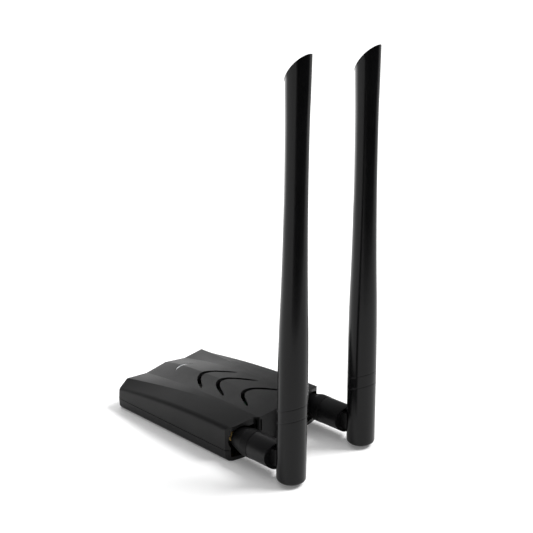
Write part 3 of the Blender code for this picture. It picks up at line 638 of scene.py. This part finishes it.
def build_shell_top():
    rings = usb_end_rings(shell_ring)
    steps = 70
    first = USB_END_X + END_ROUND
    for i in range(1, steps + 1):
        rings.append(shell_ring(first + (TONGUE_END_X + 2.0 - first) * i / steps, 0.0))
    obj = scene_object("shell_top", loft("shell_top", rings))
    hollow_top_cover(obj)
    cut_antenna_end(obj)
    cut_tongue_details(obj)
    for vent in VENTS:
        boolean(obj, louvre_tool(vent))
        boolean(obj, vent_slit(vent))
    front, back = crescent(LENS, LENS_THICK, 24, 1.0)
    boolean(obj, prism("led_window", front + list(reversed(back[1:-1])), LENS_LOW_Z - 1.2, CUT_TOP_Z))
    opening = prism("usb_opening", usb_outline(0.2), USB_END_X - 1.0, USB_END_X + 3.0, "X")
    boolean(obj, opening)
    finish_piece(obj, "shell", "housing", "top_cover", angle=24.0)


def bottom_ring(x, shrink):
    """Closed section of the bottom cover at x, its lower edges turned in and rounded."""
    seam = SEAM_Z - SEAM_GAP / 2.0
    half = [(HALF_WIDTH - shrink, seam), (HALF_WIDTH - 0.15 - shrink, 1.3), (HALF_WIDTH - 1.1 - shrink, 0.0)]
    whole = [(-y, z) for y, z in half] + [(y, z) for y, z in reversed(half)]
    return [(x, y, z) for y, z in fillet(whole, (0.0, 0.8, 0.35, 0.35, 0.8, 0.0), 5)]


def rectangle(x_pair, half_y, inset=0.0):
    """Corners of a rectangle in plan."""
    x_low, x_high = x_pair[0] + inset, x_pair[1] - inset
    y = half_y - inset
    return [(x_low, -y), (x_high, -y), (x_high, y), (x_low, y)]


def build_shell_bottom():
    rings = usb_end_rings(bottom_ring)
    rings.append(bottom_ring(0.0, 0.0))
    rings.append(bottom_ring(TONGUE_END_X + 2.0, 0.0))
    obj = scene_object("shell_bottom", loft("shell_bottom", rings))
    toe = [(USB_END_X - 1.0, -1.0), (USB_END_X + 0.8, -1.0), (USB_END_X, 1.0), (USB_END_X - 1.0, 1.0)]
    boolean(obj, prism("toe", toe, -40.0, 40.0, "Y"))
    low = (USB_END_X + WALL, -HALF_WIDTH + WALL, WALL)
    high = (POCKET_BACK_X - WALL, HALF_WIDTH - WALL, SEAM_Z + 2.0)
    boolean(obj, block("room", low, high))
    boolean(obj, block("tongue_room", (TONGUE_ROOM_X, -TONGUE_ROOM_Y, WALL),
                       (TONGUE_END_X - WALL, TONGUE_ROOM_Y, 8.0)))
    cut_antenna_end(obj)
    for spot in SCREWS:
        boolean(obj, rod("sink", 2.5, -1.0, 1.6, "Z", spot, 48))
        boolean(obj, rod("way", 1.35, 1.0, 3.0, "Z", spot, 32))
    bed = rectangle(LABEL_X, LABEL_HALF_Y)
    boolean(obj, prism("label_bed", closed_fillet(bed, 1.6), -1.0, 0.35))
    finish_piece(obj, "shell", "housing", "bottom_cover", angle=24.0)


def build_label():
    sheet = rectangle(LABEL_X, LABEL_HALF_Y, 0.3)
    obj = scene_object("label_sheet", prism("label_sheet", closed_fillet(sheet, 1.4), 0.02, 0.27))
    finish_piece(obj, "label", "housing", "blank_label")


def build_lens():
    """Light pipe that fills the little window and follows the roof."""
    front, back = crescent(LENS, LENS_THICK, 24, 1.0)
    keep = [i for i in range(len(front)) if 2 <= i <= len(front) - 3]
    rim = [(front[i][0] + LENS_GAP, front[i][1]) for i in keep]
    rim += [(back[i][0] - LENS_GAP, back[i][1]) for i in reversed(keep)]
    rings = [[(x, y, LENS_LOW_Z) for x, y in rim]]
    rings.append([(x, y, roof_height(x, y) - 0.30) for x, y in rim])
    centre = Vector((sum(p[0] for p in rim), sum(p[1] for p in rim))) / len(rim)
    # two rings drawn in toward the middle round the lens's upper edge
    for share, drop in ((0.06, 0.12), (0.2, 0.05)):
        ring = []
        for x, y in rim:
            px = x + (centre.x - x) * share * 0.6
            py = y + (centre.y - y) * share * 0.4
            ring.append((px, py, roof_height(px, py) - drop))
        rings.append(ring)
    obj = scene_object("light_pipe", loft("light_pipe", rings))
    finish_piece(obj, "lens", "housing", "led_lens", angle=40.0)


# ---------------------------------------------------------------- jacks and antennas

def thread_ridge(start, end):
    """The jack's thread: one ridge wound along X on the origin line, faded out at both ends."""
    bm = bmesh.new()
    per_turn = 48
    half = THREAD_PITCH * 0.5
    flank = half * 0.96
    flat = half * 0.30
    shape = ((-flank, THREAD_ROOT_R), (-flat, THREAD_R), (flat, THREAD_R), (flank, THREAD_ROOT_R))
    under = THREAD_ROOT_R - 0.25
    rows = []
    total = int((end - start) / THREAD_PITCH) * per_turn
    for i in range(total + 1):
        angle = 2.0 * math.pi * i / per_turn
        fade = min(1.0, i / 10.0, (total - i) / 10.0)
        x = start + half + (end - start - THREAD_PITCH) * i / total
        section = [(dx, THREAD_ROOT_R - 0.03 + (radius - THREAD_ROOT_R) * fade) for dx, radius in shape]
        section += [(flank, under), (-flank, under)]
        rows.append([bm.verts.new((x + dx, size * math.cos(angle), size * math.sin(angle)))
                     for dx, size in section])
    for a, b in zip(rows[:-1], rows[1:]):
        for k in range(6):
            m = (k + 1) % 6
            bm.faces.new((a[k], a[m], b[m], b[k]))
    bm.faces.new(rows[0])
    bm.faces.new(list(reversed(rows[-1])))
    return mesh_from(bm, "thread")


def on_jack_line(mesh, word):
    """Move a mesh from the origin line onto a jack's line."""
    mesh.transform(Matrix.Translation((0.0, PIN[word].y * MM, PIN[word].z * MM)))
    return mesh


def collar(x_pair, edge_x, inner, outer, edge):
    """Section of a washer or nut: a ring whose outer edges are turned in."""
    start, end = x_pair
    return [(start, inner), (start, edge), (start + edge_x, outer),
            (end - edge_x, outer), (end, edge), (end, inner)]


def build_barrel(word):
    y, z = PIN[word].y, PIN[word].z
    root = THREAD_ROOT_R + 0.05
    profile = [(BARREL_START_X, BARREL_BORE_R), (BARREL_START_X, root), (BARREL_END_X - 0.4, root),
               (BARREL_END_X, THREAD_ROOT_R - 0.2), (BARREL_END_X, BARREL_BORE_R)]
    obj = scene_object("jack_barrel_" + word, on_jack_line(lathe("jack_barrel", profile, 72), word))
    flange = block("flange", (BARREL_START_X - 2.1, y - FLANGE_HALF, z - FLANGE_HALF),
                   (BARREL_START_X + 0.15, y + FLANGE_HALF, z + FLANGE_HALF), 0.2)
    boolean(obj, flange, "UNION")
    boolean(obj, rod("bore", BARREL_BORE_R - 0.13, BARREL_START_X - 3.6, BARREL_START_X + 3.4, "X", (y, z)))
    finish_piece(obj, "gold", "housing", "jack_body_" + word, angle=40.0)


def build_thread(word):
    ridge = thread_ridge(31.0, BARREL_END_X - 0.5)
    turned = scene_object("jack_thread_" + word, on_jack_line(ridge, word))
    finish_piece(turned, "gold", "housing", angle=50.0)


def build_lock_washer(word):
    section = collar(WASHER_X, 0.08, THREAD_R + 0.2, WASHER_R, WASHER_R - 0.1)
    ring = scene_object("lock_washer_" + word, on_jack_line(lathe("lock_washer", section, 72), word))
    for k in range(WASHER_NOTCHES):
        tooth = block("notch", (WASHER_X[0] - 0.25, -0.22, WASHER_R - 0.5),
                      (WASHER_X[1] + 0.3, 0.22, WASHER_R + 0.4))
        tooth.transform(Matrix.Rotation(2.0 * math.pi * k / WASHER_NOTCHES, 4, "X"))
        boolean(ring, on_jack_line(tooth, word))
    finish_piece(ring, "gold", "housing", "jack_washer_" + word)


def build_lock_nut(word):
    section = collar(NUT_X, 0.3, THREAD_R + 0.2, NUT_R, NUT_R - 0.6)
    nut = scene_object("lock_nut_" + word, on_jack_line(lathe("lock_nut", section, 96), word))
    hexagon = rod("hexagon", NUT_R - 0.15, 31.0, 35.0, "X", (PIN[word].y, PIN[word].z), 6)
    boolean(nut, hexagon, "INTERSECT")
    finish_piece(nut, "gold", "housing", "jack_nut_" + word, angle=20.0)


def lean(word):
    """Antenna parts are drawn at the tilt pin, then leaned about the jack line."""
    side = 1.0 if PIN[word].y > 0.0 else -1.0
    turn = Matrix.Rotation(math.radians(side * LEAN_DEG), 4, "X")
    return Matrix.Translation(PIN[word] * MM) @ turn


def from_pin(word, points):
    """Turn x values along the jack line into distances from the tilt pin."""
    return [(x - PIN[word].x, radius) for x, radius in points]


def build_sleeve(word):
    outer = from_pin(word, [
        (SLEEVE_START_X, SLEEVE_FOOT_R - 0.5), (SLEEVE_START_X, SLEEVE_FOOT_R),
        (SLEEVE_CONE_X, SLEEVE_R), (SLEEVE_END_X, SLEEVE_R), (SLEEVE_END_X, 5.25)])
    line = fillet(outer, (0.0, 0.35, 2.5, 0.18, 0.0))
    line += from_pin(word, [(45.2, 5.2), (44.9, SLEEVE_FOOT_R - 0.5)])
    obj = scene_object("foot_sleeve_" + word, lathe("foot_sleeve", line))
    obj.data.transform(lean(word))
    finish_piece(obj, "sleeve", "nut_" + word, "nut_sleeve_" + word)


def build_stem(word):
    """Barrel with a hollow end, and in the hollow the lug that carries the tilt pin."""
    outer = from_pin(word, [
        (STEM_START_X, 3.0), (STEM_START_X, STEM_R), (STEM_END_X, STEM_R), (STEM_END_X, 3.0)])
    start, end = outer[0][0], outer[-1][0]
    obj = scene_object("swivel_stem_" + word, lathe("swivel_stem", fillet(outer, (0.0, 0.18, 0.5, 0.0))))
    boolean(obj, rod("core", 3.4, start + 6.1, end - 0.4, "X"), "UNION")
    boolean(obj, rod("hollow", STEM_HOLLOW_R, -STEM_HOLLOW_Y, STEM_HOLLOW_Y, "Y", sides=144))
    lug = [(start + 6.7, LUG_R), (start + 6.7, -LUG_R)]
    for i in range(25):
        angle = math.radians(-90.0 + 7.5 * i)
        lug.append((LUG_R * math.cos(angle), LUG_R * math.sin(angle)))
    boolean(obj, prism("lug", lug, -LUG_HALF_Y, LUG_HALF_Y, "Y"), "UNION")
    boolean(obj, rod("pin_hole", PIN_HOLE_R, -6.0, 6.0, "Y", sides=40))
    boolean(obj, block("cable_way", (start + 4.3, -0.9, 1.7), (8.0, 0.9, 6.0)))
    obj.data.transform(lean(word))
    finish_piece(obj, "stem", "swivel_" + word, "stem_" + word, angle=28.0)


def whip_size(z):
    """Half depth and half width of the whip at a height, smoothly between stations."""
    rows = WHIP_STATIONS
    if z <= rows[0][0]:
        return rows[0][1], rows[0][2]
    for i in range(len(rows) - 1):
        if z <= rows[i + 1][0]:
            break
    low, high = rows[i], rows[i + 1]
    before = rows[max(0, i - 1)]
    after = rows[min(len(rows) - 1, i + 2)]
    span = high[0] - low[0]
    t = (z - low[0]) / span
    sizes = []
    for k in (1, 2):
        m0 = (high[k] - before[k]) / (high[0] - before[0]) * span
        m1 = (after[k] - low[k]) / (after[0] - low[0]) * span
        size = (2 * t ** 3 - 3 * t ** 2 + 1) * low[k] + (t ** 3 - 2 * t ** 2 + t) * m0
        size += (-2 * t ** 3 + 3 * t ** 2) * high[k] + (t ** 3 - t ** 2) * m1
        sizes.append(size)
    return sizes[0], sizes[1]


def circle_steps():
    """Cosine and sine of each side of the whip; the first edge lies across the X axis."""
    turns = [2.0 * math.pi * (i + 0.5) / WHIP_SIDES for i in range(WHIP_SIDES)]
    return [(math.cos(angle), math.sin(angle)) for angle in turns]


def oval(z, half_x, half_y, slope=0.0):
    return [(half_x * c, half_y * s, z + slope * half_x * c) for c, s in circle_steps()]


def foot_rings():
    rings = []
    for i in range(9):
        angle = math.radians(90.0 * i / 8.0)
        size = WHIP_R - WHIP_FOOT_FILLET * (1.0 - math.sin(angle))
        rings.append(oval(WHIP_FOOT + WHIP_FOOT_FILLET * (1.0 - math.cos(angle)), size, size))
    rings.append(oval(4.0, WHIP_R, WHIP_R))
    return rings


def groove_rings():
    rings = []
    for height in RING_HEIGHTS:
        for rise, depth in RING_SECTION:
            rings.append(oval(height + rise, WHIP_R - depth, WHIP_R - depth, RING_SLOPE))
    return rings


def blade_rings():
    heights = [34.0 + 4.0 * i for i in range(32)]
    return [oval(z, *whip_size(z)) for z in heights]


def tip_height(x):
    """Height of the slanted, slightly rounded tip, falling from the front edge to the back."""
    back = max(0.0, WHIP_STATIONS[-1][1] - x)
    return WHIP_TIP_Z - WHIP_TIP_SLOPE * back - WHIP_TIP_BEND * back * back


def tip_rings():
    """From a level ring below the tip to the slanted rim, then over its rounded edge."""
    start = 162.0
    tip_x, tip_y = WHIP_STATIONS[-1][1], WHIP_STATIONS[-1][2]
    rings = []
    for share in (0.0, 0.35, 0.7, 1.0):
        ring = []
        for c, s in circle_steps():
            height = start + (tip_height(tip_x * c) - 0.2 - start) * share
            half_x, half_y = whip_size(height)
            ring.append((half_x * c, half_y * s, height))
        rings.append(ring)
    for shrink, lift in ((0.03, 0.08), (0.16, 0.0)):
        ring = []
        for c, s in circle_steps():
            x = (tip_x - shrink) * c
            ring.append((x, (tip_y - shrink) * s, tip_height(x) - lift))
        rings.append(ring)
    return rings


def whip_mesh():
    bm = bmesh.new()
    made = skin(bm, foot_rings() + groove_rings() + blade_rings() + tip_rings())
    bm.faces.new(list(reversed(made[0])))
    # the tip's face is curved one way only, so it is closed with strips across it
    last = made[-1]
    for i in range(WHIP_SIDES // 2 - 1):
        bm.faces.new((last[i], last[i + 1], last[WHIP_SIDES - 2 - i], last[WHIP_SIDES - 1 - i]))
    return mesh_from(bm, "whip")


def build_whip(word):
    obj = scene_object("antenna_whip_" + word, whip_mesh())
    boolean(obj, block("slot", (-12.0, -WHIP_SLOT_Y, -12.0), (WHIP_SLOT_REACH, WHIP_SLOT_Y, WHIP_SLOT_REACH)))
    boolean(obj, rod("pin_socket", PIN_HOLE_R, -5.2, 5.2, "Y", sides=40))
    obj.data.transform(lean(word))
    finish_piece(obj, "whip", "antenna_" + word, "whip_" + word, angle=28.0)


def build_antenna_side(word):
    build_barrel(word)
    build_thread(word)
    build_lock_washer(word)
    build_lock_nut(word)
    build_sleeve(word)
    build_stem(word)
    build_whip(word)


# ---------------------------------------------------------------- carried-over CAD nodes

NODE_MATS = {
    "circuit_board": "board", "radio_shield": "tin", "radio_chip": "chip", "thermal_pad": "pad",
    "flash_chip": "chip", "crystal_can": "tin", "status_led": "led", "usb_socket_shell": "nickel",
    "usb_tongue": "chip", "usb_contacts_lower": "gold", "usb_contacts_upper": "gold",
    "case_screw": "steel", "jack_insulator": "ptfe", "jack_pin": "gold", "coupling_nut": "brass",
    "plug_ferrule": "gold", "plug_insulator": "ptfe", "plug_socket": "gold", "tilt_pin": "steel",
    "radiator_sleeve": "brass", "radiator_wire": "brass", "antenna_coax": "coax",
}


def dress_cad_nodes():
    """Give every CAD node that is still drawn as it is the material of its kind."""
    for name, node in frame["nodes"].items():
        for start, mat in NODE_MATS.items():
            if name == start or name.startswith(start + "_"):
                for place in node.material_slots:
                    place.material = MATS[mat]


# ---------------------------------------------------------------- stage

CAM_AZ = math.radians(44.01)
CAM_PITCH = math.radians(18.81)
CAM_ROLL = math.radians(-0.19)
CAM_PLACE = (0.33448, -0.30962, 0.23214)
CAM_LENS = 67.56
FLOOR_REACH = 9000.0

# cards on the floor that only reflections show, as millimetres right of and toward the
# camera from the near antenna: the whips mirror them as their dark middle
CARD_OUTLINE = (
    (20.0, 212.0), (-129.0, 243.0), (-624.0, 669.0), (-5000.0, 5400.0), (6000.0, 5400.0),
    (6000.0, -750.0), (660.0, 93.0), (340.0, 144.0), (173.0, 205.0))


def camera_frame_point(right, toward, up):
    """A point or direction given along the camera's right, toward it, and up."""
    x = right * math.cos(CAM_AZ) + toward * math.sin(CAM_AZ)
    y = right * math.sin(CAM_AZ) - toward * math.cos(CAM_AZ)
    return (x, y, up)


def give_glow(mat, strength):
    shader = mat.node_tree.nodes["Principled BSDF"]
    socket(shader, "Emission Color", (1.0, 1.0, 1.0, 1.0))
    socket(shader, "Emission Strength", strength)


def build_floor():
    low = (-FLOOR_REACH, -FLOOR_REACH, -40.0)
    floor = scene_object("floor", block("floor", low, (FLOOR_REACH, FLOOR_REACH, -0.05)))
    pale = (0.90, 0.90, 0.90)
    mat = surface("studio_floor", pale, pale, (0.75, 0.85), patch=2.0, grain=60.0, grain_depth=0.00002)
    give_glow(mat, 0.12)
    floor.data.materials.append(mat)


def build_card(name, mat, setback, top):
    """A card seen only in reflections; setback moves its front edge toward the camera."""
    outline = []
    for right, toward in CARD_OUTLINE:
        x, y = camera_frame_point(right, toward + setback, 0.0)[:2]
        outline.append((PIN["near"].x + x, PIN["near"].y + y))
    card = scene_object(name, prism(name, outline, 0.0, top))
    card.data.materials.append(mat)
    card.visible_camera = False
    card.visible_diffuse = False
    card.visible_shadow = False
    card.visible_transmission = False


def build_cards():
    dark = bpy.data.materials.new("dark_card")
    dark.use_nodes = True
    shader = dark.node_tree.nodes["Principled BSDF"]
    socket(shader, "Base Color", (0.0, 0.0, 0.0, 1.0))
    socket(shader, "Roughness", 1.0)
    socket(shader, "Specular IOR Level", 0.0)
    grey = dark.copy()
    grey.name = "grey_card"
    # the grey card glows and is seen only in mirror reflections: a painted reflection of a lit strip, not a
    # lamp
    give_glow(grey, 0.5)
    build_card("grey_card", grey, 0.0, 0.2)
    build_card("dark_card", dark, 75.0, 0.4)


def build_world():
    """Even room light, white behind the object and dim in mirror reflections."""
    world = bpy.data.worlds.new("studio")
    bpy.context.scene.world = world
    world.use_nodes = True
    tree = world.node_tree
    back = tree.nodes["Background"]
    back.inputs["Color"].default_value = (1.0, 1.0, 1.0, 1.0)
    ray = new_node(tree, "ShaderNodeLightPath")
    dim = new_node(tree, "ShaderNodeMapRange")
    dim.inputs["To Min"].default_value = 0.32
    dim.inputs["To Max"].default_value = 0.13
    tree.links.new(ray.outputs["Is Glossy Ray"], dim.inputs["Value"])
    strength = plus(tree, dim.outputs["Result"], ray.outputs["Is Camera Ray"])
    tree.links.new(strength, back.inputs["Strength"])


def light(name, kind, energy, aim):
    """A light that shines along a direction."""
    data = bpy.data.lights.new(name, kind)
    data.energy = energy
    obj = bpy.data.objects.new(name, data)
    bpy.context.scene.collection.objects.link(obj)
    obj.rotation_euler = aim.to_track_quat("-Z", "Y").to_euler()
    return obj


def sun_light(name, source, power, spread_deg):
    """Soft light from a direction; kept out of mirror reflections."""
    obj = light(name, "SUN", power, -Vector(source))
    obj.data.angle = math.radians(spread_deg)
    obj.visible_glossy = False


def back_card_light():
    """Wide low light behind the body that sheens the roof toward the camera."""
    place = Vector(camera_frame_point(-0.17, -0.25, 0.09))
    target = Vector(camera_frame_point(-0.03, 0.0, 0.01))
    obj = light("back_card", "AREA", 0.40, target - place)
    obj.data.shape = "RECTANGLE"
    obj.data.size = 0.42
    obj.data.size_y = 0.16
    obj.location = place
    obj.visible_camera = False


def build_lights():
    build_world()
    sun_light("key", camera_frame_point(0.80, -0.12, 1.0), 3.2, 24.0)
    sun_light("top_fill", camera_frame_point(0.0, -0.4, 1.0), 1.0, 70.0)
    back_card_light()


# ---------------------------------------------------------------- camera

def build_camera():
    """A view from above the near antenna, with a slight roll about the line of sight."""
    data = bpy.data.cameras.new("camera")
    data.sensor_width = 36.0
    data.lens = CAM_LENS
    data.clip_start = 0.01
    data.clip_end = 50.0
    camera = bpy.data.objects.new("camera", data)
    bpy.context.scene.collection.objects.link(camera)
    forward = Vector((-math.sin(CAM_AZ) * math.cos(CAM_PITCH),
                      math.cos(CAM_AZ) * math.cos(CAM_PITCH), -math.sin(CAM_PITCH)))
    level = Vector((math.cos(CAM_AZ), math.sin(CAM_AZ), 0.0))
    up = level.cross(forward)
    right = math.cos(CAM_ROLL) * level + math.sin(CAM_ROLL) * up
    top = -math.sin(CAM_ROLL) * level + math.cos(CAM_ROLL) * up
    camera.matrix_world = Matrix((
        (right.x, top.x, -forward.x, CAM_PLACE[0]),
        (right.y, top.y, -forward.y, CAM_PLACE[1]),
        (right.z, top.z, -forward.z, CAM_PLACE[2]),
        (0.0, 0.0, 0.0, 1.0)))
    bpy.context.scene.camera = camera


build_camera()
build_shell_top()
build_shell_bottom()
build_label()
build_lens()
for hand in ("near", "far"):
    build_antenna_side(hand)
dress_cad_nodes()
build_floor()
build_cards()
build_lights()
bpy.context.scene.view_settings.view_transform = "Standard"
